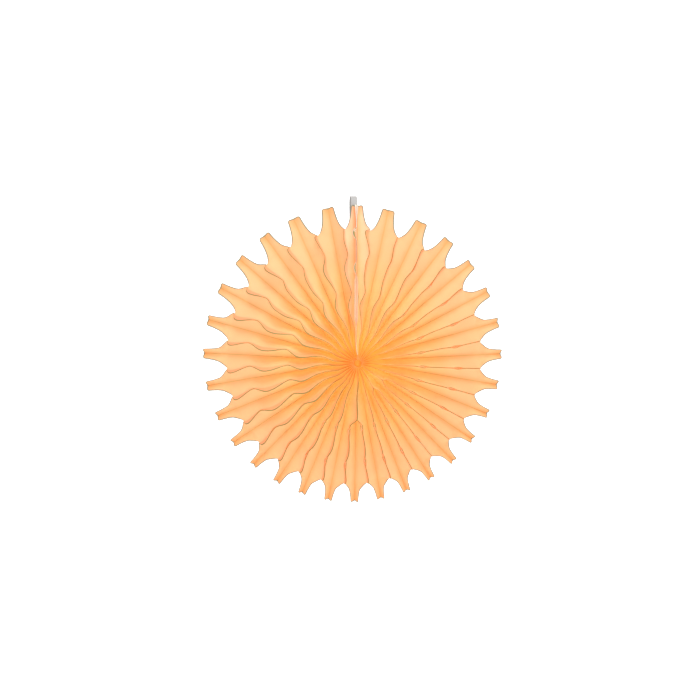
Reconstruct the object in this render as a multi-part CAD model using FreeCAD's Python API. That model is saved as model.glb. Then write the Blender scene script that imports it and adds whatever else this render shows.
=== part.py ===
import FreeCAD, Part
import math
import os

os.makedirs("parts", exist_ok=True)

# The open fan: a full circle of folded tissue leaves, one tooth to a leaf
tooth_count = 30
fan_radius = 241.0  # hub to tooth tip
sheet = 0.25  # thickness of a tissue leaf

# Die-cut leaf, measured along the fold from the hub and across the flank from the fold
flank_width = 24.0  # fold to glue line
least_rise = 7.0  # how far the glue line stays in front of the folds where the leaves spread widest
valley_radius = 202.0  # where the glued edge ends and the teeth part
edge_end = 4.0  # length in which the glued edge runs out past the valley
edge_gap = 0.5  # half width between the leaves there
tip_flat = 10.0  # half of a tooth's flat end
tooth_flare = 2.6  # how late a tooth's side curves out to the valley
tooth_steps = 3

# Wavy glued edge: lobes stand past the glue line, notches are cut back to it
lobe_height = 8.0
notch_height = 0.8
notch_gap = 1.3  # half width of the opening at a notch
shoulder_share = 0.6  # height of the edge midway between a lobe and a notch, as a share of a lobe
wave_pitch = 58.0
wave_count = 3
notch_share = 0.62  # of the pitch, from a lobe inwards to its notch

# How the open fan settles: leaves crowd at the bottom, and the glued edges lean and sway at the left
sag_spread = 0.058
sag_ripple = 0.023
leaf_turn = math.radians(0.6)
seam_pinch = math.radians(1.0)
lean_mean = math.radians(26.0)
lean_swing = math.radians(24.0)
lean_towards = math.radians(-50.0)
lean_room = 0.75  # share of half a trough that a leaning edge may cross
lobe_sway = 3.0
notch_sway = 2.0

# Hub binding, sized by the stack of leaves round it
hub_looseness = 2.4
hub_radius = hub_looseness * tooth_count * sheet / math.pi

# End cards, face to face in the seam
card_thickness = 0.4
card_start = 14.0  # hub to a card's inner end

# Hanging ribbon, doubled over, on the back of the seam
ribbon_width = 12.0
ribbon_layer = 0.4
ribbon_shift = -4.9  # middle of the ribbon, sideways from the seam
ribbon_start = 55.0  # hub to the ribbon's lower end
ribbon_rise = 14.0  # tooth tip to the top of the eye
eye_width = 5.5
eye_taper = 22.0
eye_straight = 13.0

eye_top = fan_radius + ribbon_rise
hang_point = FreeCAD.Vector(ribbon_shift, ribbon_layer + eye_width / 2, eye_top)


def fold_angle(index):
    """Clockwise angle, seen from the front, of a leaf's fold; 0 and tooth_count are the two sides of the seam."""
    base = 2 * math.pi * index / tooth_count
    if index in (0, tooth_count):
        return base
    angle = base + leaf_turn
    angle += sag_spread * math.sin(angle) - sag_ripple * math.sin(2 * angle)
    if index == 1:
        angle -= seam_pinch
    if index == tooth_count - 1:
        angle += seam_pinch
    return angle


def half_pitch(joint):
    return (fold_angle(joint + 1) - fold_angle(joint)) / 2


def joint_angle(joint):
    return (fold_angle(joint + 1) + fold_angle(joint)) / 2


def outward(angle):
    return FreeCAD.Vector(math.sin(angle), 0, math.cos(angle))


def clockwise(angle):
    return FreeCAD.Vector(math.cos(angle), 0, -math.sin(angle))


forward = FreeCAD.Vector(0, -1, 0)


def wavy(along, share):
    """One station of the glued edge: place along the fold, lobe share, height past the glue line, opening."""
    height = notch_height + (lobe_height - notch_height) * share
    return along, share, height, notch_gap if share == 0.0 else 0.0


def glued_stations():
    """Stations from the hub to just past the valley, at each lobe, notch and shoulder of the wavy edge."""
    stations = []
    for turn in range(wave_count):
        lobe = valley_radius - turn * wave_pitch
        notch = lobe - notch_share * wave_pitch
        after = notch - (1 - notch_share) * wave_pitch / 2
        stations += [wavy(lobe, 1.0), wavy((lobe + notch) / 2, shoulder_share)]
        stations += [wavy(notch, 0.0), wavy(after, shoulder_share)]
    stations.append(wavy(valley_radius - wave_count * wave_pitch, 1.0))
    stations += [wavy(hub_radius, shoulder_share), wavy(card_start, shoulder_share)]
    stations.append((valley_radius + edge_end, 1.0, notch_height, edge_gap))
    return sorted(stations)


def tooth_outline():
    """(distance along the fold, width of the flank) from past the valley to the flat end of a tooth."""
    points = []
    root = valley_radius + edge_end
    for step in range(1, tooth_steps + 1):
        share = (step / tooth_steps) ** 1.3
        width = tip_flat + (flank_width - tip_flat) * (1 - share) ** tooth_flare
        points.append((root + (fan_radius - root) * share, width))
    return points


def glue_depth(joint, along):
    across = along * math.tan(half_pitch(joint))
    return math.sqrt(max(flank_width**2 - across**2, least_rise**2))


def crest_room(joint, along):
    return lean_room * (along - hub_radius) * math.tan(half_pitch(joint))


def joint_lean(joint, along):
    full = lean_mean + lean_swing * math.cos(joint_angle(joint) - lean_towards)
    return min(full, math.asin(min(1.0, crest_room(joint, along) / (lobe_height + lobe_sway))))


def joint_sway(joint, along, share):
    """Sideways place of the glue line: lobes are pushed one way and notches the other."""
    strength = joint_lean(joint, along) / (lean_mean + lean_swing)
    return strength * (notch_sway * (1 - share) - lobe_sway * share)


def wall_normal(start, stop, sideways, side):
    """Direction, across and forward, from a wall of the section into its trough."""
    run = stop - start
    across = run.dot(sideways)
    ahead = run.dot(forward)
    length = math.hypot(across, ahead)
    return (-side * ahead / length, side * across / length)


def moved(point, sideways, normal):
    return point + (sideways * normal[0] + forward * normal[1]) * sheet


def mitre(first, second):
    """How far an inner corner moves for a unit of thickness, from the normals of its two walls."""
    scale = 1 / (1 + first[0] * second[0] + first[1] * second[1])
    return ((first[0] + second[0]) * scale, (first[1] + second[1]) * scale)


def fold_place(index, along):
    place = outward(fold_angle(index)) * along
    if index == 0:
        place.x = card_offset(along)
    if index == tooth_count:
        place.x = -card_offset(along)
    return place


def card_offset(along):
    """Sideways place of the tissue on a card, which closes in past the card's inner end."""
    ramp = (along - hub_radius) / (card_start - hub_radius)
    return card_thickness * max(0.0, min(1.0, ramp))


def on_card(index, side):
    return index == 0 and side < 0 or index == tooth_count and side > 0


def glued_edge(index, side, station):
    """Glue line and crest of a leaf's edge where it is glued to the next leaf."""
    along, share, height, gap = station
    joint = index if side > 0 else index - 1
    angle = joint_angle(joint)
    sideways = clockwise(angle)
    lean = joint_lean(joint, along)
    middle = outward(angle) * (along / math.cos(half_pitch(joint))) + forward * glue_depth(joint, along)
    glue = middle + sideways * (joint_sway(joint, along, share) - side * gap)
    rise = forward * math.cos(lean) - sideways * math.sin(lean)
    return glue, glue + rise * height


def card_edge(index, station):
    """The same edge on the flank that lies flat on an end card."""
    fold = fold_place(index, station[0])
    return fold + forward * flank_width, fold + forward * (flank_width + station[2])


def edge_points(index, side, station):
    if on_card(index, side):
        return card_edge(index, station)
    return glued_edge(index, side, station)


def ring_from(fold, edges, sideways):
    """Outer and inner row of points of a cross-section, from its fold and the walls on its two sides."""
    rows = []
    folds = []
    for side, (glue, crest) in zip((-1, 1), edges):
        flank_normal = wall_normal(fold, glue, sideways, side)
        folds.append(flank_normal)
        fin_normal = flank_normal
        if (crest - glue).Length > 0:
            fin_normal = wall_normal(glue, crest, sideways, side)
        inner_glue = moved(glue, sideways, mitre(flank_normal, fin_normal))
        rows.append((inner_glue, moved(crest, sideways, fin_normal)))
    inner_fold = moved(fold, sideways, mitre(folds[0], folds[1]))
    outer = [edges[0][1], edges[0][0], fold, edges[1][0], edges[1][1]]
    inner = [rows[0][1], rows[0][0], inner_fold, rows[1][0], rows[1][1]]
    return outer, inner


def glued_ring(index, station):
    edges = [edge_points(index, side, station) for side in (-1, 1)]
    return ring_from(fold_place(index, station[0]), edges, clockwise(fold_angle(index)))


def tooth_ring(index, along, width):
    """Cross-section of a tooth, whose flanks keep the slope that they have at the valley."""
    fold = fold_place(index, along)
    start = fold_place(index, valley_radius)
    edges = []
    for side in (-1, 1):
        slope = edge_points(index, side, wavy(valley_radius, 1.0))[0] - start
        edge = fold + slope.normalize() * width
        edges.append((edge, edge))
    return ring_from(fold, edges, clockwise(fold_angle(index)))


def strip(near, far, flip):
    """Two triangles over a four-sided patch; the diagonal is the same on both leaves that share it."""
    triangles = [(near[0], near[1], far[1]), (near[0], far[1], far[0])]
    if flip:
        triangles = [(a, c, b) for a, b, c in triangles]
    return triangles


def skin(rings):
    """Triangles that join each cross-section to the next, and close the two ends."""
    triangles = []
    pairs = ((2, 1, False), (1, 0, False), (2, 3, True), (3, 4, True))
    for here, there in zip(rings, rings[1:]):
        for start, stop, flip in pairs:
            for row in (0, 1):
                near = (here[row][start], here[row][stop])
                far = (there[row][start], there[row][stop])
                triangles += strip(near, far, flip == (row == 0))
        for end, flip in ((0, False), (4, True)):
            near = (here[0][end], here[1][end])
            far = (there[0][end], there[1][end])
            triangles += strip(near, far, not flip)
    for ring, flip in ((rings[0], True), (rings[-1], False)):
        for place in range(4):
            near = (ring[0][place], ring[0][place + 1])
            far = (ring[1][place], ring[1][place + 1])
            triangles += strip(near, far, flip)
    return triangles


def solid_from(triangles):
    faces = []
    for a, b, c in triangles:
        if (b - a).cross(c - a).Length > 1e-7:
            faces.append(Part.Face(Part.makePolygon([a, b, c, a])))
    shell = Part.Shell(faces)
    shell.sewShape()
    solid = Part.Solid(shell)
    if solid.Volume < 0:
        solid.reverse()
    return solid


def leaf(index):
    rings = [glued_ring(index, station) for station in glued_stations()]
    rings += [tooth_ring(index, along, width) for along, width in tooth_outline()]
    return solid_from(skin(rings))


def end_card(side):
    """A stiff card cut by the same die as the leaves, flat in the seam."""
    x = 0.0 if side > 0 else -card_thickness
    edge = [(station[0], flank_width + station[2]) for station in glued_stations() if station[0] >= card_start]
    edge += tooth_outline()
    points = [FreeCAD.Vector(x, -width, along) for along, width in edge]
    points += [FreeCAD.Vector(x, 0, fan_radius), FreeCAD.Vector(x, 0, card_start)]
    face = Part.Face(Part.makePolygon(points + [points[0]]))
    return face.extrude(FreeCAD.Vector(card_thickness, 0, 0))


def hub_binding():
    """The glued spine: a prism with one face to each leaf."""
    corners = []
    for joint in range(tooth_count):
        corners.append(outward(joint_angle(joint)) * (hub_radius / math.cos(half_pitch(joint))))
    face = Part.Face(Part.makePolygon(corners + [corners[0]]))
    return face.extrude(forward * flank_width)


def ribbon_wire(x, inset, foot):
    """Outline of the doubled ribbon, or of its eye, seen from the side."""
    near = inset
    far = 2 * ribbon_layer + eye_width - inset
    radius = (far - near) / 2
    spring = eye_top - eye_width / 2
    low = spring - eye_straight
    top = FreeCAD.Vector(x, (near + far) / 2, spring + radius)
    left = FreeCAD.Vector(x, near, spring)
    right = FreeCAD.Vector(x, far, spring)
    chain = [right, FreeCAD.Vector(x, far, low)] + foot + [left]
    edges = [Part.Arc(left, top, right).toShape()]
    edges += [Part.LineSegment(a, b).toShape() for a, b in zip(chain, chain[1:])]
    return Part.Wire(edges)


def hanging_ribbon():
    x = ribbon_shift - ribbon_width / 2
    joined = eye_top - eye_width / 2 - eye_straight - eye_taper
    foot = [
        FreeCAD.Vector(x, 2 * ribbon_layer, joined),
        FreeCAD.Vector(x, 2 * ribbon_layer, ribbon_start),
        FreeCAD.Vector(x, 0, ribbon_start),
    ]
    outline = ribbon_wire(x, 0.0, foot)
    eye = ribbon_wire(x, ribbon_layer, [FreeCAD.Vector(x, ribbon_layer, joined)])
    band = FreeCAD.Vector(ribbon_width, 0, 0)
    return Part.Face(outline).extrude(band).cut(Part.Face(eye).extrude(band))


def write(name, shape):
    shape.translate(hang_point * -1)
    shape.exportStep("parts/" + name + ".step")


for index in range(1, tooth_count):
    write("leaf_%02d" % index, leaf(index))
write("seam_leaf_right", leaf(0))
write("seam_leaf_left", leaf(tooth_count))
write("end_card_right", end_card(1))
write("end_card_left", end_card(-1))
write("hub_binding", hub_binding())
write("hanging_ribbon", hanging_ribbon())
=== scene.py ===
import math

import bmesh
import bpy
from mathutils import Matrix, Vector


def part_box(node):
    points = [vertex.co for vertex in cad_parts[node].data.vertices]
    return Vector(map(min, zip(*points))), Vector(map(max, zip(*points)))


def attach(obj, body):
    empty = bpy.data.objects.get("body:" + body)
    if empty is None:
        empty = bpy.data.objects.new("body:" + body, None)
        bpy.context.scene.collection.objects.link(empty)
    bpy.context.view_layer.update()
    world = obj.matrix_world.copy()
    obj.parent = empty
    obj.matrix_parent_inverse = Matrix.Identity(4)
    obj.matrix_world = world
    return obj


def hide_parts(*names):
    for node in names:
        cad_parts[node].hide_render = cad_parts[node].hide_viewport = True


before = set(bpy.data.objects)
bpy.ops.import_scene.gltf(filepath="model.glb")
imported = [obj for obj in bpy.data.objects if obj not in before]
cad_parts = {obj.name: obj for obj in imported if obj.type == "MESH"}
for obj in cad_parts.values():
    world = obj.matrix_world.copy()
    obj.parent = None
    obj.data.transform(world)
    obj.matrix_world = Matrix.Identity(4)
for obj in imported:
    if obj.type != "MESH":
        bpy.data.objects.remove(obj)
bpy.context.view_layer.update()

# The camera
# It stands half a metre in front of the fan, a little to the left of the hub and above it, with a wide lens
# that looks slightly down. The stand is in radii of the fan, and the pan and the tilt are in radians.
hub_low, hub_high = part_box("hub_binding")
HUB = Vector(((hub_low[0] + hub_high[0]) / 2, hub_high[1], (hub_low[2] + hub_high[2]) / 2))
FAN_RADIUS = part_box("end_card_left")[1][2] - HUB.z
STAND = Vector((-0.18, -2.2, 0.332))
PAN = 0.0625
TILT = -0.117
LENS = 17.08
FILM_WIDTH = 36.0

camera = bpy.data.objects.new("camera", bpy.data.cameras.new("camera"))
camera.data.lens = LENS
camera.data.sensor_width = FILM_WIDTH
camera.location = HUB + STAND * FAN_RADIUS
camera.rotation_euler = (math.pi / 2 + TILT, 0.0, -PAN)
bpy.context.collection.objects.link(camera)
bpy.context.scene.camera = camera


# The tissue leaves
# Each is one die-cut sheet of apricot tissue, folded once. The fold runs at the back from the hub to the tip
# of a tooth; the flanks rise to the front and are glued to their neighbours along a wavy edge.
TOOTH_COUNT = 30
HUB_RADIUS = (hub_high[2] - hub_low[2]) / 2
VALLEY_RADIUS = 0.202
TIP_TRIM = 0.0011
TIP_RADIUS = FAN_RADIUS - TIP_TRIM
FLANK_WIDTH = 0.024
TISSUE_THICKNESS = 0.00016
PLY_GAP = 0.0001
FORWARD = Vector((0.0, -1.0, 0.0))


def outward(angle):
    return Vector((math.sin(angle), 0.0, math.cos(angle)))


def clockwise(angle):
    return Vector((math.cos(angle), 0.0, -math.sin(angle)))


def smooth(low, high, value):
    part = min(1.0, max(0.0, (value - low) / (high - low)))
    return part * part * (3 - 2 * part)


def bay(low, high, edge, along):
    """1 between two places on a joint, falling to 0 over a short edge at both ends."""
    return smooth(low, low + edge, along) * (1.0 - smooth(high - edge, high, along))


# The open fan sags a little, so its leaves aren't spread evenly.
LEAF_TURN = math.radians(0.6)
SAG_SPREAD = 0.058
SAG_RIPPLE = 0.023
SEAM_PINCH = math.radians(1.0)


def fold_angle(index):
    """Direction of a leaf's fold, clockwise from the top."""
    base = 2 * math.pi * index / TOOTH_COUNT
    if index in (0, TOOTH_COUNT):
        return base
    angle = base + LEAF_TURN
    angle += SAG_SPREAD * math.sin(angle) - SAG_RIPPLE * math.sin(2 * angle)
    if index == 1:
        angle -= SEAM_PINCH
    if index == TOOTH_COUNT - 1:
        angle += SEAM_PINCH
    return angle


def joint_beside(index, side):
    """The joint on one side of a leaf: joint 0 lies between the folds 0 and 1."""
    return index if side > 0 else index - 1


def half_pitch(joint):
    return (fold_angle(joint + 1) - fold_angle(joint)) / 2


def joint_angle(joint):
    return (fold_angle(joint + 1) + fold_angle(joint)) / 2


# The wavy edge that the die cuts: lobes with notches between them.
WAVE_PITCH = 0.058
WAVE_SHIFT = 0.009
WAVE_SHIFT_TOWARDS = math.radians(110.0)
WAVE_SCATTER = 0.0025
WAVE_SCATTER_STEP = 2.4
NOTCH_SHARE = 0.62
LOBE_HEIGHT = 0.008
LOBE_FULLNESS = 0.75
LIP_HEIGHT = 0.0022
EDGE_CORNER = 0.009
CORNER_FLOOR = 0.08


def waves_past(joint, along):
    """Waves of the edge between the valley and a place on a joint."""
    shift = WAVE_SHIFT * max(0.0, math.cos(joint_angle(joint) - WAVE_SHIFT_TOWARDS))
    scatter = WAVE_SCATTER * math.sin(joint * WAVE_SCATTER_STEP)
    return max(0.0, (VALLEY_RADIUS - along - shift - scatter) / WAVE_PITCH)


def lobe_share(joint, along):
    """1 at a lobe of the wavy edge and 0 at a notch; no two joints are quite alike."""
    part = waves_past(joint, along) % 1.0
    if part < NOTCH_SHARE:
        phase = math.pi * part / NOTCH_SHARE
    else:
        phase = math.pi + math.pi * (part - NOTCH_SHARE) / (1 - NOTCH_SHARE)
    return (0.5 + 0.5 * math.cos(phase)) ** LOBE_FULLNESS


def edge_height(joint, along):
    """How far the glued edge stands past the glue line; it starts low and rounded at the valley."""
    share = lobe_share(joint, along)
    height = LIP_HEIGHT + (LOBE_HEIGHT - LIP_HEIGHT) * share
    corner = max(0.0, along - VALLEY_RADIUS + EDGE_CORNER) / EDGE_CORNER
    return height * (CORNER_FLOOR + (1 - CORNER_FLOOR) * math.sqrt(max(0.0, 1.0 - corner * corner)))


# The joints: two edges glued together stand up at the front, lean, and wander to the side. LOBE_LEAN gives
# the lobes that lean unlike the rest, by joint and by lobe from the valley in. DRIFT_WAVES gives each wave's
# share, its pace along the joint and its scatter. PINCHED gives the leaves whose trough is closed near the
# hub, with the place where it starts to open and how much further out it is open.
LEAST_RISE = 0.007
LEAN_MEAN = math.radians(26.0)
LEAN_SWING = math.radians(24.0)
LEAN_TOWARDS = math.radians(-50.0)
LEAN_SCATTER = 0.15
LEAN_SCATTER_STEP = 5.1
LEAN_DRIFT = 0.12
LEAN_ROOM = 0.75
LOBE_LEAN = {
    (0, 0): 1.4, (0, 1): 0.55, (1, 0): 0.3, (1, 1): 0.6, (3, 1): 0.6, (4, 1): 0.6, (5, 0): 0.7, (5, 1): 0.6,
    (24, 0): 1.3, (25, 1): 0.6, (26, 1): 0.5, (27, 1): 0.6, (28, 1): 1.25, (29, 0): 0.4,
}
LOBE_SWAY = 0.003
NOTCH_SWAY = 0.002
DRIFT_SWAY = 0.0006
DRIFT_START = (0.02, 0.08)
DRIFT_WAVES = ((0.6, 61.0, 3.1), (0.4, 23.0, 5.3))
DRIFT_JOINT_STEP = 2.399
DRIFT_SEED_STEP = 1.7
SLUMP = 0.0032
SLUMP_TOWARDS = math.radians(235.0)
SLUMP_RUN = (0.045, 0.195, 0.03)
PINCHED = {10: (0.046, 0.010), 12: (0.045, 0.010), 15: (0.086, 0.014)}


def wander(joint, seed, along):
    """A slow drift from -1 to 1 along a joint, different for each joint."""
    phase = joint * DRIFT_JOINT_STEP + seed * DRIFT_SEED_STEP
    return sum(share * math.sin(along * pace + phase * spread) for share, pace, spread in DRIFT_WAVES)


def pinch(leaf, along):
    """0 where the trough of a leaf is open and 1 where its edges meet."""
    if leaf not in PINCHED:
        return 0.0
    start, length = PINCHED[leaf]
    return 1.0 - smooth(start, start + length, along)


def joint_lean(joint, along):
    """Lean of the glued edges, as far as there is room."""
    full = LEAN_MEAN + LEAN_SWING * math.cos(joint_angle(joint) - LEAN_TOWARDS)
    full *= 1.0 + LEAN_SCATTER * math.sin(joint * LEAN_SCATTER_STEP) + LEAN_DRIFT * wander(joint, 1, along)
    waves = waves_past(joint, along)
    full *= 1.0 + (LOBE_LEAN.get((joint, round(waves)), 1.0) - 1.0) * math.cos(math.pi * waves) ** 2
    room = LEAN_ROOM * max(0.0, along - HUB_RADIUS) * math.tan(half_pitch(joint))
    return min(full, math.asin(min(1.0, room / (LOBE_HEIGHT + LOBE_SWAY))))


def joint_line(joint, side, along):
    """Glue point and direction of the edge past it, for one side of one joint."""
    share = lobe_share(joint, along)
    across = along * math.tan(half_pitch(joint))
    depth = math.sqrt(max(FLANK_WIDTH**2 - across**2, LEAST_RISE**2))
    lean = joint_lean(joint, along)
    strength = lean / (LEAN_MEAN + LEAN_SWING)
    sway = strength * (NOTCH_SWAY * (1 - share) - LOBE_SWAY * share)
    sway += DRIFT_SWAY * wander(joint, 2, along) * smooth(*DRIFT_START, along)
    sway += across * (pinch(joint + 1, along) - pinch(joint, along))
    sway += SLUMP * max(0.0, math.cos(joint_angle(joint) - SLUMP_TOWARDS)) * bay(*SLUMP_RUN, along)
    sideways = clockwise(joint_angle(joint))
    glue = outward(joint_angle(joint)) * (along / math.cos(half_pitch(joint))) + FORWARD * depth
    glue += sideways * (sway - side * PLY_GAP)
    rise = FORWARD * math.cos(lean) - sideways * math.sin(lean)
    return glue, rise


# The free edges past the glue: where they stand upright, they curl at their very end and part like lips at
# the notches.
LIP_WIDTH = 0.0016
LIP_NOTCH = (0.02, 0.32)
LIP_START = (0.03, 0.10)
UPRIGHT_TURN = (-0.6, 0.9)
EDGE_CURL = 0.0004
CURL_RUN = 0.0015
CURL_START = (0.05, 0.10)


def lip(joint, side, along, past):
    """How far a free edge bends away from the joint."""
    notch = 1.0 - smooth(*LIP_NOTCH, lobe_share(joint, along))
    upright = 1.0 - smooth(*UPRIGHT_TURN, math.cos(joint_angle(joint) - LEAN_TOWARDS))
    part = min(1.0, max(0.0, past / LIP_HEIGHT))
    parting = LIP_WIDTH * notch * part * smooth(*LIP_START, along)
    end = smooth(-CURL_RUN, 0.0, past - edge_height(joint, along))
    parting += EDGE_CURL * end * smooth(*CURL_START, along)
    return clockwise(joint_angle(joint)) * (-side * upright * parting)


# The teeth: past the valley nothing is glued, and the flanks fold up a little more, least at the fan's top.
TIP_FLAT = 0.0101
TIP_CORNER = 0.0042
STRAIGHT_TAPER = 0.1
TOOTH_CLOSING = math.radians(17.0)
CLOSING_GAIN = 1.2
CLOSING_RUN = 0.014
LOOSE_RUN = 0.012
TOOTH_TWIST = math.radians(25.0)
TWIST_SHARE = 0.8
BOTTOM_TEETH = math.radians(172.0)
BOTTOM_SPREAD = math.radians(26.0)
BOTTOM_SHARE = 0.55


def tooth_width(along):
    """Width of a flank in a tooth: a hollow quarter round from the valley to the narrow flat end."""
    part = 1.0 - (along - VALLEY_RADIUS) / (TIP_RADIUS - VALLEY_RADIUS)
    hollow = 1.0 - math.sqrt(max(0.0, 1.0 - part * part))
    width = TIP_FLAT + (FLANK_WIDTH - TIP_FLAT) * (STRAIGHT_TAPER * part + (1 - STRAIGHT_TAPER) * hollow)
    corner = max(0.0, along - TIP_RADIUS + TIP_CORNER)
    return width - TIP_CORNER + math.sqrt(max(0.0, TIP_CORNER**2 - corner**2))


def tooth_turn(index, side, along):
    """How much more a flank of a tooth is folded up than at its valley."""
    angle = fold_angle(index)
    closing = TOOTH_CLOSING * min(1.0, CLOSING_GAIN - CLOSING_GAIN * math.cos(angle))
    bottom = math.exp(-(((angle - BOTTOM_TEETH) / BOTTOM_SPREAD) ** 2))
    twist = TWIST_SHARE * math.sin(angle) * math.cos(angle + side * TOOTH_TWIST)
    closing *= 1.0 - side * (twist + BOTTOM_SHARE * bottom)
    return closing * smooth(VALLEY_RADIUS, VALLEY_RADIUS + CLOSING_RUN, along)


# The flanks: each leaves its fold with a small round crease and bows to the glue line. The grid of a leaf
# has FLANK_SHARE of its half width up to the glue line, and VALLEY_SHARE of its length up to the valley.
FOLD_PULL = 0.35
GLUE_PULL = 0.12
CREASE_LIFT = 0.0009
CREASE_HALF = 0.002
ACROSS_SEGMENTS = 32
FLANK_SHARE = 0.75
ALONG_SEGMENTS = 112
VALLEY_SHARE = 0.75
ROW_TOUCH = 1e-5
OFF_GLUE = -10.0


def on_card(index, side):
    """The two flanks that lie on the end cards; the section on the seam leaves gives their shape."""
    return (index == 0 and side < 0) or (index == TOOTH_COUNT and side > 0)


def fold_place(index, along):
    place = outward(fold_angle(index)) * along
    if index == 0:
        place.x = card_offset(along) + PLY_GAP
    if index == TOOTH_COUNT:
        place.x = -card_offset(along) - PLY_GAP
    return place


def side_line(index, side, along):
    """Fold point, glue point and edge direction of one flank."""
    fold = fold_place(index, along)
    if on_card(index, side):
        return fold, fold + FORWARD * FLANK_WIDTH, FORWARD
    joint = joint_beside(index, side)
    if along <= VALLEY_RADIUS:
        glue, rise = joint_line(joint, side, along)
        return fold, glue, rise
    root = fold_place(index, VALLEY_RADIUS)
    glue, rise = joint_line(joint, side, VALLEY_RADIUS)
    slope = (glue - root).normalized()
    turn = tooth_turn(index, side, along)
    slope = slope * math.cos(turn) + (FORWARD - slope * slope.dot(FORWARD)).normalized() * math.sin(turn)
    loose = smooth(VALLEY_RADIUS, VALLEY_RADIUS + LOOSE_RUN, along)
    return fold, fold + slope * FLANK_WIDTH, rise.lerp(slope, loose).normalized()


def flank_point(index, side, along, width):
    """A point of a flank at a distance from the fold; the sheet leaves its glue line smoothly."""
    fold, glue, rise = side_line(index, side, along)
    if on_card(index, side):
        return fold + FORWARD * width + Vector((seam_shift(index, along, width), 0.0, 0.0))
    if index in (0, TOOTH_COUNT):
        fold = fold + Vector((seam_shift(index, along, 0.0), 0.0, 0.0))
    if width >= FLANK_WIDTH:
        past = width - FLANK_WIDTH
        bend = Vector()
        if along < VALLEY_RADIUS:
            bend = lip(joint_beside(index, side), side, along, past)
        return glue + rise * past + bend
    part = width / FLANK_WIDTH
    first = fold.lerp(glue, FOLD_PULL)
    second = glue - rise * (GLUE_PULL * FLANK_WIDTH) + (fold - glue) * GLUE_PULL
    rest = 1.0 - part
    point = fold * rest**3 + first * (3 * rest * rest * part)
    point += second * (3 * rest * part * part) + glue * part**3
    return point + FORWARD * (CREASE_LIFT * math.exp(-((width / CREASE_HALF) ** 2)))


def in_tooth(run):
    return run > VALLEY_SHARE + ROW_TOUCH


def row_place(start, run):
    """Distance of a row of the grid from the hub; in a tooth the rows crowd at the valley and the tip."""
    if not in_tooth(run):
        return start + (VALLEY_RADIUS - start) * run / VALLEY_SHARE
    turn = (run - VALLEY_SHARE) / (1 - VALLEY_SHARE) * math.pi
    return VALLEY_RADIUS + (TIP_RADIUS - VALLEY_RADIUS) * (0.5 - 0.5 * math.cos(turn))


def sheet_piece(name, form, thickness, material):
    """Makes a shaped grid a piece of sheet that is as thick on both of its sides."""
    bmesh.ops.recalc_face_normals(form, faces=form.faces)
    mesh = bpy.data.meshes.new(name)
    form.to_mesh(mesh)
    form.free()
    mesh.materials.append(material)
    piece = bpy.data.objects.new(name, mesh)
    bpy.context.collection.objects.link(piece)
    wall = piece.modifiers.new("thickness", "SOLIDIFY")
    wall.thickness = thickness
    wall.offset = 0.0
    return piece


def build_leaf(name, index, material):
    """A grid whose columns run along the fold and whose rows run across it, laid in the folded shape."""
    form = bmesh.new()
    bmesh.ops.create_grid(form, x_segments=ACROSS_SEGMENTS, y_segments=ALONG_SEGMENTS, size=1.0)
    rim = form.verts.layers.float.new("rim")
    ply = form.verts.layers.float.new("ply")
    crease = form.verts.layers.float.new("crease")
    reach = form.verts.layers.float.new("reach")
    seam = form.verts.layers.float.new("seam")
    spare = []
    for face in form.faces:
        middle = face.calc_center_median()
        if in_tooth((middle.y + 1) / 2) and abs(middle.x) > FLANK_SHARE:
            spare.append(face)
    bmesh.ops.delete(form, geom=spare, context="FACES")
    for corner in form.verts:
        side = -1 if corner.co.x < 0 else 1
        across = abs(corner.co.x)
        run = (corner.co.y + 1) / 2
        along = row_place(HUB_RADIUS, run)
        flank = tooth_width(along) if in_tooth(run) else FLANK_WIDTH
        edge = 0.0 if in_tooth(run) else edge_height(joint_beside(index, side), along)
        width = flank * min(1.0, across / FLANK_SHARE)
        width += edge * max(0.0, (across - FLANK_SHARE) / (1 - FLANK_SHARE))
        corner.co = HUB + flank_point(index, side, along, width)
        corner[rim] = min(flank + edge - width, TIP_RADIUS - along) * 1000
        corner[ply] = (width - FLANK_WIDTH) * 1000 if edge > 0 else OFF_GLUE
        corner[crease] = width * 1000
        corner[reach] = along * 1000
        # The seam attribute marks the flanks on the end cards, outside their loose lobes, where painted
        # light is added.
        if index in (0, TOOTH_COUNT):
            lobe = seam_lobe(along, width, seam_front(index, along)) if on_card(index, side) else 0.0
            corner[seam] = 1.0 - min(1.0, lobe / SEAM_LOBE_PLAIN)
    for face in form.faces:
        face.smooth = True
    return sheet_piece(name, form, TISSUE_THICKNESS, material)


class Wire:
    """A socket in a material; arithmetic on it adds Math nodes."""

    def __init__(self, finish, socket):
        self.finish = finish
        self.socket = socket

    def math(self, operation, *others):
        sockets = {0: self}
        for place, other in enumerate(others):
            sockets[place + 1] = other
        return self.finish.node("ShaderNodeMath", {"operation": operation}, sockets)

    def __add__(self, other):
        return self.math("ADD", other)

    def __sub__(self, other):
        return self.math("SUBTRACT", other)

    def __mul__(self, other):
        return self.math("MULTIPLY", other)

    def __rsub__(self, other):
        return self * -1.0 + other

    __radd__ = __add__
    __rmul__ = __mul__


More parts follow.
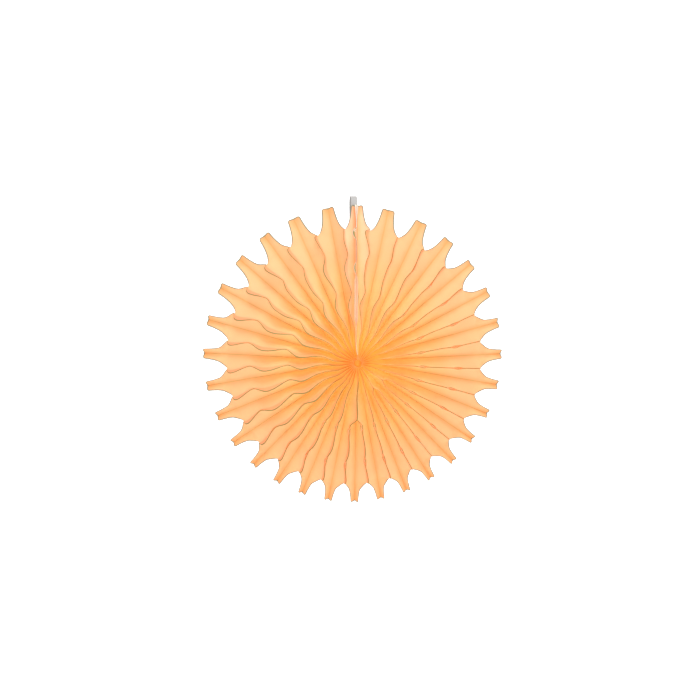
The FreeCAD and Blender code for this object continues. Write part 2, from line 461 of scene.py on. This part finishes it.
class Finish:
    """A material that is being put together."""

    def __init__(self, name):
        self.material = bpy.data.materials.new(name)
        self.material.use_nodes = True
        self.tree = self.material.node_tree
        self.tree.nodes.clear()

    def node(self, kind, settings, sockets, output=0):
        made = self.tree.nodes.new(kind)
        for name, value in settings.items():
            setattr(made, name, value)
        for place, value in sockets.items():
            if isinstance(value, Wire):
                self.tree.links.new(value.socket, made.inputs[place])
            else:
                made.inputs[place].default_value = value
        return Wire(self, made.outputs[output])

    def step(self, value, low, high):
        """0 below low, 1 above high, smooth between."""
        settings = {"interpolation_type": "SMOOTHSTEP", "clamp": True}
        return self.node("ShaderNodeMapRange", settings, {0: value, 1: low, 2: high, 3: 0.0, 4: 1.0})

    def blend(self, factor, first, second):
        settings = {"data_type": "RGBA", "blend_type": "MIX"}
        return self.node("ShaderNodeMix", settings, {0: factor, 6: first, 7: second}, 2)

    def tint(self, colour, tint):
        """One colour seen through another."""
        settings = {"data_type": "RGBA", "blend_type": "MULTIPLY"}
        return self.node("ShaderNodeMix", settings, {0: 1.0, 6: colour, 7: tint}, 2)

    def attribute(self, name):
        return self.node("ShaderNodeAttribute", {"attribute_name": name}, {}, 2)

    def place(self):
        return self.node("ShaderNodeTexCoord", {}, {}, 3)

    def noise(self, place, scale, detail=3.0):
        return self.node("ShaderNodeTexNoise", {}, {0: place, 2: scale, 3: detail})

    def bump(self, strength, depth, height):
        return self.node("ShaderNodeBump", {}, {0: strength, 1: depth, 3: height})

    def done(self, shader):
        output = self.tree.nodes.new("ShaderNodeOutputMaterial")
        self.tree.links.new(shader.socket, output.inputs[0])
        return self.material


BLACK = (0.0, 0.0, 0.0, 1.0)
# The tissue at the rim; the middle and hub colours are paler: painted light that offsets the shade in the
# deep slots near the hub.
RIM_TISSUE = (0.98, 0.70, 0.45, 1.0)
MID_TISSUE_PAINTED_PALER = (0.98, 0.785, 0.475, 1.0)
HUB_TISSUE_PAINTED_PALER = (0.98, 0.835, 0.50, 1.0)
# Paler tissue for the flanks on the end cards: painted light against the shade in the narrow seam.
SEAM_PAINTED_LIGHT = (0.99, 0.84, 0.78, 1.0)
DEEP_TINT = (1.0, 0.80, 0.55, 1.0)
THROUGH_TINT = (1.0, 0.86, 0.66, 1.0)
CORE_TINT = (1.0, 0.78, 0.56, 1.0)
CREST_LINE = (0.34, 0.41, 0.14, 1.0)
INNER_LINE = (0.68, 0.50, 0.16, 1.0)
TOOTH_LINE = (0.24, 0.34, 0.26, 1.0)
# The colour of a line of painted shade along the fold.
FOLD_SHADE_LINE = (0.64, 0.55, 0.24, 1.0)

# Where the colours change, in millimetres from the hub, from the fold, past the glue line or from the cut.
HUB_TO_MID = (20.0, 110.0)
MID_TO_RIM = (90.0, 190.0)
TWO_PLIES = (-1.0, 1.0)
GLUE_SHADE = (-9.0, 0.0)
FOLD_SHADE = (0.0, 9.0)
TIP_SHADE = (222.0, 241.0)
FOLD_SHADE_LINE_HALF = (0.2, 2.2)
FOLD_SHADE_LINE_START = (50.0, 130.0)
STEEP_END = (15.0, 75.0)
LINE_START = (6.0, 15.0)
NOTCH_EDGE = (2.8, 5.0)
NOTCH_END = (196.0, 202.0)
TOOTH_START = (198.0, 206.0)
CORE_END = (6.0, 32.0)
GLOW_END = (0.0, 75.0)

# How far each of them changes the colour, how wide the line on the cut edge is, and how strongly the tissue
# glows:
# painted light (emission) that stands for light wandering through the plies and lifts the shade, most at the
# hub and in the seam.
SEAM_PAINTED_LIGHT_SHARE = 0.6
PLY_DEPTH = 0.42
GLUE_DEPTH = 0.10
FOLD_DEPTH = 0.40
TIP_DEPTH = 0.45
MOTTLE = 0.3
FOLD_SHADE_LINE_DEPTH = 0.6
LINE_DEPTH = 0.80
CORE_DEPTH = 0.35
LINE_FULL = 0.8
LINE_GONE = 2.5
GLOW = 0.16
HUB_GLOW = 0.2
SEAM_GLOW = 0.22


def tissue_finish():
    """Deeper where two plies touch and at the core by the hub. Painted shade deepens it near the fold, along
    the fold line and below the glue line, which leaves the middle of a flank pale; painted light makes it
    paler from the rim in towards the hub and on the flanks on the end cards, and makes it glow.
    """
    tissue = Finish("tissue")
    place = tissue.place()
    reach = tissue.attribute("reach")
    mottle = tissue.noise(place, 60.0)
    # The tissue's colour, paler from the rim in towards the hub: painted light that offsets the shade in the
    # deep narrow slots near the hub.
    colour = tissue.blend(tissue.step(reach, *HUB_TO_MID), HUB_TISSUE_PAINTED_PALER, MID_TISSUE_PAINTED_PALER)
    colour = tissue.blend(tissue.step(reach, *MID_TO_RIM), colour, RIM_TISSUE)
    # Paler, pinker tissue on the flanks that lie on the end cards: painted light that offsets the shade in
    # the narrow seam.
    seam = tissue.attribute("seam")
    colour = tissue.blend(seam * SEAM_PAINTED_LIGHT_SHARE, colour, SEAM_PAINTED_LIGHT)

    ply = tissue.attribute("ply")
    crease = tissue.attribute("crease")
    # Two plies deepen the colour; painted shade deepens it below the glue line and near the fold, in the
    # crease, which leaves the middle of a flank pale.
    plies_and_glue_shade = tissue.step(ply, *TWO_PLIES) * PLY_DEPTH + tissue.step(ply, *GLUE_SHADE) * GLUE_DEPTH
    fold = (1.0 - tissue.step(crease, *FOLD_SHADE)) * FOLD_DEPTH
    tip = tissue.step(reach, *TIP_SHADE) * TIP_DEPTH
    deep = fold + plies_and_glue_shade + tip + (mottle - 0.5) * MOTTLE
    colour = tissue.blend(deep, colour, tissue.tint(colour, DEEP_TINT))
    # A darker line along the fold, growing from 50 to 130 mm out: painted shade in the crease at the back.
    fold_line_shade = (1.0 - tissue.step(crease, *FOLD_SHADE_LINE_HALF)) * tissue.step(reach, *FOLD_SHADE_LINE_START) * FOLD_SHADE_LINE_DEPTH
    colour = tissue.blend(fold_line_shade, colour, FOLD_SHADE_LINE)

    # A dark line along every cut edge, wider near the hub and thinner at the notches: partly the tissue's
    # edge seen on its thickness, partly painted shade.
    rim = tissue.attribute("rim")
    inner = 1.0 - tissue.step(reach, *HUB_TO_MID)
    steep = 1.0 - tissue.step(reach, *STEEP_END)
    notch = (1.0 - tissue.step(rim + ply, *NOTCH_EDGE)) * (1.0 - tissue.step(reach, *NOTCH_END))
    full = LINE_FULL + steep * 2.0 - notch * 0.3
    gone = LINE_GONE + steep * 4.0 - notch * 1.2
    cut_edge_and_shade = (1.0 - tissue.step(rim, full, gone)) * tissue.step(reach, *LINE_START)
    line = tissue.blend(inner, CREST_LINE, INNER_LINE)
    line = tissue.blend(tissue.step(reach, *TOOTH_START), line, TOOTH_LINE)
    colour = tissue.blend(cut_edge_and_shade * LINE_DEPTH, colour, line)
    core = 1.0 - tissue.step(reach, *CORE_END)
    colour = tissue.blend(core * CORE_DEPTH, colour, tissue.tint(colour, CORE_TINT))

    through = tissue.tint(colour, THROUGH_TINT)
    # A glow over all the tissue, stronger near the hub and on the flanks on the end cards: painted light
    # (emission) that lifts the shade.
    share = GLOW + (1.0 - tissue.step(reach, *GLOW_END)) * HUB_GLOW + seam * SEAM_GLOW
    painted_glow = tissue.blend(share, BLACK, tissue.tint(through, colour))
    crinkle = tissue.noise(place, 160.0, 4.0)
    grain = tissue.noise(place, 900.0, 5.0)
    bump = tissue.bump(0.25, 0.0004, crinkle + grain * 0.3)
    look = {"Base Color": colour, "Roughness": 0.85, "Specular IOR Level": 0.25, "Normal": bump}
    look.update({"Emission Color": painted_glow, "Emission Strength": 1.0})
    paper = tissue.node("ShaderNodeBsdfPrincipled", {}, look)
    glow = tissue.node("ShaderNodeBsdfTranslucent", {}, {0: through, 1: bump})
    return tissue.done(tissue.node("ShaderNodeMixShader", {}, {0: 0.5, 1: paper, 2: glow}))


tissue = tissue_finish()
for index in range(1, TOOTH_COUNT):
    node = "leaf_%02d" % index
    leaf = build_leaf("tissue_" + node, index, tissue)
    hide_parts(node)
    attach(leaf, "root")


# The seam leaves
# The first and the last leaf of the stack, of the same tissue, meet in the middle of the top tooth. One
# flank of each is glued flat on an end card; its wavy front edge gapes in places and has two loose lobes.
CARD_THICKNESS = 0.0004
CARD_START = 0.014
SEAM_LEAN = -0.0022
SEAM_ROOM = 0.03
SEAM_SLIT = 0.00005
SEAM_LIP = 0.004
SEAM_LOBE_HALF = 0.0095
SEAM_LOBE_PLAIN = 0.0015
TIP_GAPE = 0.0046
TIP_GAPE_RUN = (0.212, 0.241)

# Each loose lobe is given by its distance from the hub and its curl, and each gape at a notch by its width,
# its two ends and the length over which it closes.
SEAM_LOBES = ((0.1935, 0.0060), (0.1430, 0.0034))
NOTCH_GAPES = ((0.0012, 0.148, 0.188, 0.010), (0.0046, 0.056, 0.136, 0.014))


def card_offset(along):
    """Distance of a fold from the middle of the seam: the card's thickness, where the card has begun."""
    return CARD_THICKNESS * min(1.0, max(0.0, (along - HUB_RADIUS) / (CARD_START - HUB_RADIUS)))


def gape(along):
    """How far the front edges of the two end cards part: at the tip and in the two long notches below it."""
    opening = TIP_GAPE * smooth(*TIP_GAPE_RUN, along)
    for size, low, high, edge in NOTCH_GAPES:
        opening += size * bay(low, high, edge, along)
    return opening


def seam_front(index, along):
    """Distance from the fold to the front edge, on the flanks that lie on the end cards."""
    if along > VALLEY_RADIUS:
        return tooth_width(along)
    return FLANK_WIDTH + edge_height(joint_beside(index, 1 if index == 0 else -1), along)


def seam_lobe(along, width, front):
    """Sideways curl of the seam's front lips, to the left, at its two loose lobes."""
    curl = 0.0
    for middle, size in SEAM_LOBES:
        turn = min(1.0, abs(along - middle) / SEAM_LOBE_HALF) * math.pi / 2
        curl += size * math.cos(turn) * max(0.0, width - front + SEAM_LIP) / SEAM_LIP
    return curl


def seam_shift(index, along, width):
    """Sideways place of the seam's two walls at a distance from their folds, past the card's thickness."""
    side = 1 if index == 0 else -1
    room = smooth(HUB_RADIUS, SEAM_ROOM, along)
    front = seam_front(index, along)
    open_part = max(0.0, width - front + SEAM_LIP) / SEAM_LIP
    curl = seam_lobe(along, width, front)
    spread = side * (SEAM_SLIT + gape(along) / 2 * open_part**2)
    return (spread - curl + SEAM_LEAN * width / FLANK_WIDTH) * room


for node, index in (("seam_leaf_right", 0), ("seam_leaf_left", TOOTH_COUNT)):
    leaf = build_leaf("tissue_" + node, index, tissue)
    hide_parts(node)
    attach(leaf, "root")


# The end cards
# Two stiff pale cards, cut by the same die as the leaves and set face to face in the seam. Each carries the
# glued flank of a seam leaf, and the binding holds the inner ends of both.
CARD_ACROSS_SEGMENTS = 10
# The card's orange tint stands for the light it takes from the tissue around it: painted light; BARE_CARD is
# its own colour.
CARD_PAINTED_WARM_DARK = (0.92, 0.71, 0.51, 1.0)
CARD_PAINTED_WARM_PALE = (0.97, 0.77, 0.57, 1.0)
BARE_CARD = (0.98, 0.92, 0.82, 1.0)
BARE_START = (185.0, 215.0)


def card_finish():
    """Tinted orange by painted light from the tissue on both sides of it and glowing a little, and bare and
    pale at the top tooth.
    """
    card = Finish("card")
    fibre = card.noise(card.place(), 700.0, 5.0)
    colour = card.blend(fibre, CARD_PAINTED_WARM_DARK, CARD_PAINTED_WARM_PALE)
    colour = card.blend(card.step(card.attribute("reach"), *BARE_START), colour, BARE_CARD)
    bump = card.bump(0.2, 0.0002, fibre)
    look = {"Base Color": colour, "Roughness": 0.8, "Normal": bump}
    # The card glows a little: painted light (emission).
    look.update({"Emission Color": card.blend(0.10, BLACK, colour), "Emission Strength": 1.0})
    board = card.node("ShaderNodeBsdfPrincipled", {}, look)
    glow = card.node("ShaderNodeBsdfTranslucent", {}, {0: colour, 1: bump})
    return card.done(card.node("ShaderNodeMixShader", {}, {0: 0.35, 1: board, 2: glow}))


def build_card(name, index, material):
    """A flat grid between the two seam leaves, as wide as their glued flanks."""
    form = bmesh.new()
    bmesh.ops.create_grid(form, x_segments=CARD_ACROSS_SEGMENTS, y_segments=ALONG_SEGMENTS, size=1.0)
    reach = form.verts.layers.float.new("reach")
    side = 1 if index == 0 else -1
    for corner in form.verts:
        across = (corner.co.x + 1) / 2
        run = (corner.co.y + 1) / 2
        along = row_place(CARD_START, run)
        if in_tooth(run):
            width = tooth_width(along)
        else:
            width = FLANK_WIDTH + edge_height(joint_beside(index, side), along)
        depth = width * across
        corner[reach] = along * 1000
        shift = seam_shift(index, along, depth) + side * CARD_THICKNESS / 2
        corner.co = HUB + outward(0.0) * along + FORWARD * depth + Vector((shift, 0.0, 0.0))
    return sheet_piece(name, form, CARD_THICKNESS, material)


card = card_finish()
for node, index in (("end_card_left", TOOTH_COUNT), ("end_card_right", 0)):
    piece = build_card("card_" + node, index, card)
    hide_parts(node)
    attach(piece, "root")


# The hub binding
# The glued spine that holds the inner ends of the leaves and the cards: tissue edges, soaked in glue that
# has dried. Its solid stays, and only its finish is made here.
BINDING_SHADE = (0.88, 0.32, 0.025, 1.0)
BINDING_LIGHT = (0.93, 0.37, 0.036, 1.0)


def binding_finish():
    binding = Finish("binding")
    grain = binding.noise(binding.place(), 900.0, 4.0)
    colour = binding.blend(grain, BINDING_SHADE, BINDING_LIGHT)
    look = {"Base Color": colour, "Roughness": 0.7, "Normal": binding.bump(0.4, 0.0004, grain)}
    # The binding glows a little: painted light (emission) that lifts the shade at the hub.
    look.update({"Emission Color": binding.blend(0.12, BLACK, colour), "Emission Strength": 1.0})
    return binding.done(binding.node("ShaderNodeBsdfPrincipled", {}, look))


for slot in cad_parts["hub_binding"].material_slots:
    slot.material = binding_finish()


# The hanging ribbon
# A flat grey-white woven ribbon, doubled over and fixed on the back of the seam. Its fold stands open above
# the fan as an eye, and the back strand lies a little to the left of the front one.
RIBBON_WIDTH = 0.0102
RIBBON_SKEW = 0.0009
RIBBON_LAYER = 0.0004
RIBBON_THICKNESS = 0.00034
RIBBON_ACROSS_SEGMENTS = 8
EYE_STRAIGHT = 0.013
EYE_TAPER = 0.022
SKEW_RUN = 0.006
ribbon_low, ribbon_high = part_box("hanging_ribbon")
EYE_RADIUS = (ribbon_high[1] - ribbon_low[1] - RIBBON_LAYER) / 2
EYE_MIDDLE = ribbon_high[2] - RIBBON_LAYER / 2 - EYE_RADIUS
FRONT_RUN = EYE_MIDDLE - ribbon_low[2]
ROUND_RUN = math.pi * EYE_RADIUS
TAPER_RUN = math.hypot(EYE_TAPER, 2 * EYE_RADIUS - RIBBON_LAYER)
BACK_RUN = FRONT_RUN - EYE_STRAIGHT - EYE_TAPER
RIBBON_RUNS = ((FRONT_RUN, 60), (ROUND_RUN, 16), (EYE_STRAIGHT, 6), (TAPER_RUN, 10), (BACK_RUN, 40))
RIBBON_SHADE = (0.45, 0.44, 0.43, 1.0)
RIBBON_LIGHT = (0.55, 0.54, 0.53, 1.0)
# Painted shade for the back strand, and the woven edge's own deeper tone.
STRAND_SHADE_AND_EDGE_TINT = (0.76, 0.76, 0.75, 1.0)
WOVEN_EDGE = (0.86, 0.98)
WARP_PACE = 60.0


def ribbon_place(run):
    """Depth behind the fan and height of the ribbon's middle, at a length along it."""
    front = ribbon_low[1] + RIBBON_LAYER / 2
    if run <= FRONT_RUN:
        return front, ribbon_low[2] + run
    run -= FRONT_RUN
    if run <= ROUND_RUN:
        turn = run / EYE_RADIUS
        return front + EYE_RADIUS * (1 - math.cos(turn)), EYE_MIDDLE + EYE_RADIUS * math.sin(turn)
    run -= ROUND_RUN
    if run <= EYE_STRAIGHT:
        return front + 2 * EYE_RADIUS, EYE_MIDDLE - run
    run -= EYE_STRAIGHT
    if run <= TAPER_RUN:
        part = run / TAPER_RUN
        back = front + 2 * EYE_RADIUS + (RIBBON_LAYER - 2 * EYE_RADIUS) * smooth(0.0, 1.0, part)
        return back, EYE_MIDDLE - EYE_STRAIGHT - EYE_TAPER * part
    return front + RIBBON_LAYER, EYE_MIDDLE - EYE_STRAIGHT - EYE_TAPER - (run - TAPER_RUN)


def build_ribbon(name, material):
    """A long grid, laid up the front strand, round the eye and down the back strand."""
    form = bmesh.new()
    rows = sum(count for run, count in RIBBON_RUNS)
    bmesh.ops.create_grid(form, x_segments=RIBBON_ACROSS_SEGMENTS, y_segments=rows, size=1.0)
    strand = form.verts.layers.float.new("strand")
    across = form.verts.layers.float.new("across")
    stops = [0.0]
    for length, count in RIBBON_RUNS:
        begin = stops[-1]
        for step in range(count):
            stops.append(begin + length * (step + 1) / count)
    middle = (ribbon_low[0] + ribbon_high[0]) / 2
    for corner in form.verts:
        run = stops[round((corner.co.y + 1) / 2 * rows)]
        behind = smooth(FRONT_RUN - SKEW_RUN, FRONT_RUN + ROUND_RUN + SKEW_RUN, run)
        depth, height = ribbon_place(run)
        corner[strand] = behind
        corner[across] = corner.co.x
        side = middle + corner.co.x * RIBBON_WIDTH / 2 + RIBBON_SKEW * (1 - 2 * behind)
        corner.co = Vector((side, depth, height))
    for face in form.faces:
        face.smooth = True
    return sheet_piece(name, form, RIBBON_THICKNESS, material)


def ribbon_finish():
    """Fine warp lines along the ribbon, a firmer woven edge, and painted shade on the back strand."""
    ribbon = Finish("ribbon")
    weave = ribbon.noise(ribbon.place(), 1500.0, 2.0)
    across = ribbon.attribute("across")
    warp = (across * WARP_PACE).math("SINE") * 0.5 + 0.5
    colour = ribbon.blend(weave * 0.6 + warp * 0.4, RIBBON_SHADE, RIBBON_LIGHT)
    edge = ribbon.step(across.math("ABSOLUTE"), *WOVEN_EDGE) * 0.3
    # The back strand is darkened by painted shade, and the woven edge a little by its own weave.
    colour = ribbon.blend(ribbon.attribute("strand") * 0.7 + edge, colour, ribbon.tint(colour, STRAND_SHADE_AND_EDGE_TINT))
    bump = ribbon.bump(0.3, 0.0002, weave * 0.5 + warp)
    look = {"Base Color": colour, "Roughness": 0.6, "Normal": bump}
    return ribbon.done(ribbon.node("ShaderNodeBsdfPrincipled", {}, look))


ribbon = build_ribbon("woven_ribbon", ribbon_finish())
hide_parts("hanging_ribbon")
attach(ribbon, "root")


# The studio
# A white sweep far behind and below the fan, a white sky for the fill, and a large soft lamp above it.
FLOOR_DROP = 0.75
SWEEP_HALF = 6.0
SWEEP_FRONT = 6.0
SWEEP_BACK = 1.6
SWEEP_BEND = 0.5
SWEEP_RISE = 5.0
SWEEP_GREY = (0.93, 0.93, 0.93, 1.0)
SWEEP_WHITE = (0.97, 0.97, 0.97, 1.0)
SWEEP_GLOW = 0.5
SKY_WHITE = (1.0, 1.0, 1.0, 1.0)
SKY_STRENGTH = 0.62
LAMP_PLACE = Vector((0.25, -0.8, 1.7))
LAMP_SIZE = 1.2
LAMP_POWER = 24.0

stage_form = bmesh.new()
bmesh.ops.create_grid(stage_form, x_segments=1, y_segments=24, size=1.0)
for corner in stage_form.verts:
    run = (corner.co.y + 1) / 2
    corner.co.x *= SWEEP_HALF
    if run < 1 / 3:
        corner.co.y = -SWEEP_FRONT + (SWEEP_FRONT + SWEEP_BACK - SWEEP_BEND) * run * 3
        corner.co.z = -FLOOR_DROP
    elif run < 2 / 3:
        turn = (run * 3 - 1) * math.pi / 2
        corner.co.y = SWEEP_BACK - SWEEP_BEND + SWEEP_BEND * math.sin(turn)
        corner.co.z = -FLOOR_DROP + SWEEP_BEND - SWEEP_BEND * math.cos(turn)
    else:
        corner.co.y = SWEEP_BACK
        corner.co.z = -FLOOR_DROP + SWEEP_BEND + SWEEP_RISE * (run * 3 - 2)
for face in stage_form.faces:
    face.smooth = True
stage_mesh = bpy.data.meshes.new("sweep")
stage_form.to_mesh(stage_mesh)
stage_form.free()
sweep = bpy.data.objects.new("sweep", stage_mesh)
bpy.context.collection.objects.link(sweep)

white = Finish("sweep_white")
tone = white.blend(white.noise(white.place(), 3.0), SWEEP_GREY, SWEEP_WHITE)
look = {"Base Color": tone, "Roughness": 0.9, "Emission Color": tone, "Emission Strength": SWEEP_GLOW}
stage_mesh.materials.append(white.done(white.node("ShaderNodeBsdfPrincipled", {}, look)))

world = bpy.data.worlds.new("studio")
world.use_nodes = True
world.node_tree.nodes["Background"].inputs[0].default_value = SKY_WHITE
world.node_tree.nodes["Background"].inputs[1].default_value = SKY_STRENGTH
bpy.context.scene.world = world

lamp = bpy.data.objects.new("key_lamp", bpy.data.lights.new("key_lamp", "AREA"))
lamp.data.size = LAMP_SIZE
lamp.data.energy = LAMP_POWER
lamp.location = HUB + LAMP_PLACE
lamp.rotation_euler = (HUB - lamp.location).to_track_quat("-Z", "Y").to_euler()
bpy.context.collection.objects.link(lamp)

bpy.context.scene.view_settings.view_transform = "Standard"
